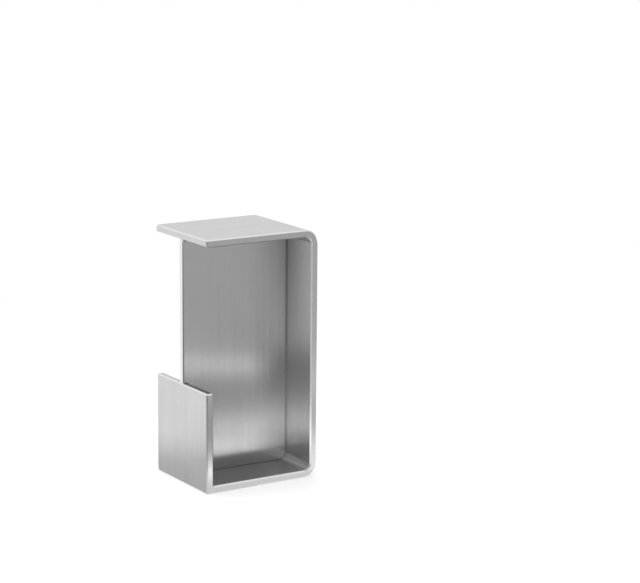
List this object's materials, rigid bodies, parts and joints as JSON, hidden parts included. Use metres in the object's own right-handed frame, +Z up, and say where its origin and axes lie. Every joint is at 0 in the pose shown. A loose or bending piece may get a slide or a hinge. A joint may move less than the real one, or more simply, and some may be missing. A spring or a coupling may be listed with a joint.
{
  "type": "recessed edge pull",
  "caption": "Double-sided recessed edge pull for a sliding door: a folded steel frame with rounded inner bends and a short lip on the door's free edge, and a web plate between the two finger pockets.",
  "frame": {"origin": "middle of the bottom face, which the pull stands on", "axes": "+X from the door's free edge into the leaf, +Y from the front face of the leaf to its rear face, +Z up"},
  "size_m": [0.05, 0.04, 0.1],
  "materials": {
    "strip_steel": "satin brushed stainless steel, grain along the strip",
    "web_steel": "satin brushed stainless steel, upright grain"
  },
  "bodies": {
    "root": {"bent_frame": "strip_steel", "web_plate": "web_steel"}
  },
  "joints": []
}
